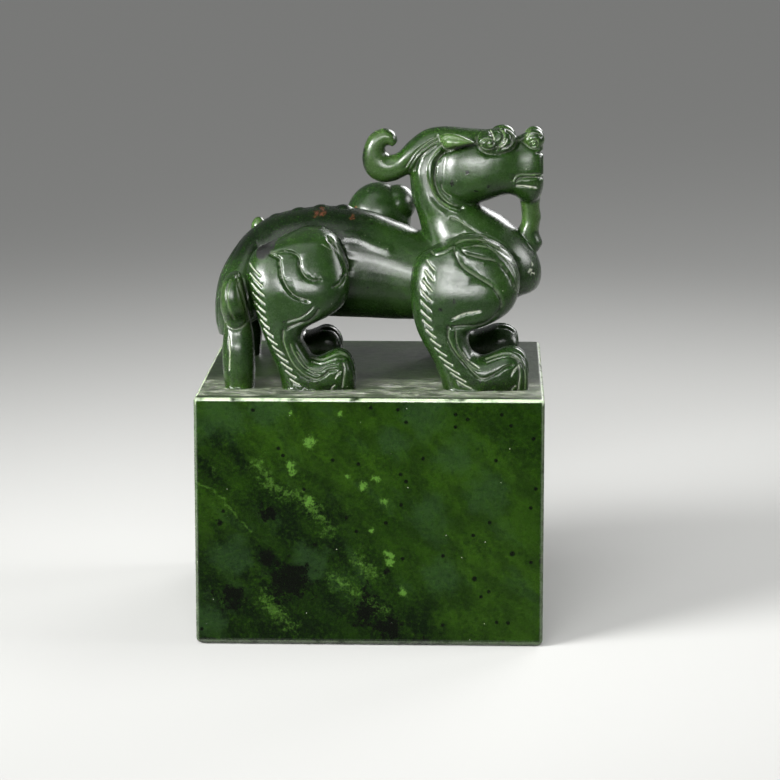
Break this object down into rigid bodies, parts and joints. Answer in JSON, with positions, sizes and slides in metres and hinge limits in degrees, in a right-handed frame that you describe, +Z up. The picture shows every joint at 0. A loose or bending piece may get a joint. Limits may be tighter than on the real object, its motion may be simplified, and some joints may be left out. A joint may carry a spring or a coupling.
{
  "type": "jade seal stamp",
  "caption": "Square seal block of dark green jade with a horned mythical beast standing on its top, carved from one stone with curled crest, beard, locks and paws.",
  "frame": {"origin": "middle of the block's flat underside", "axes": "+Z up through the block, +X the way the beast faces, -Y the side it is usually seen from"},
  "size_m": [0.064, 0.064, 0.0931],
  "materials": {
    "jade": "polished"
  },
  "bodies": {
    "root": {"jade_seal": "jade"}
  },
  "joints": []
}
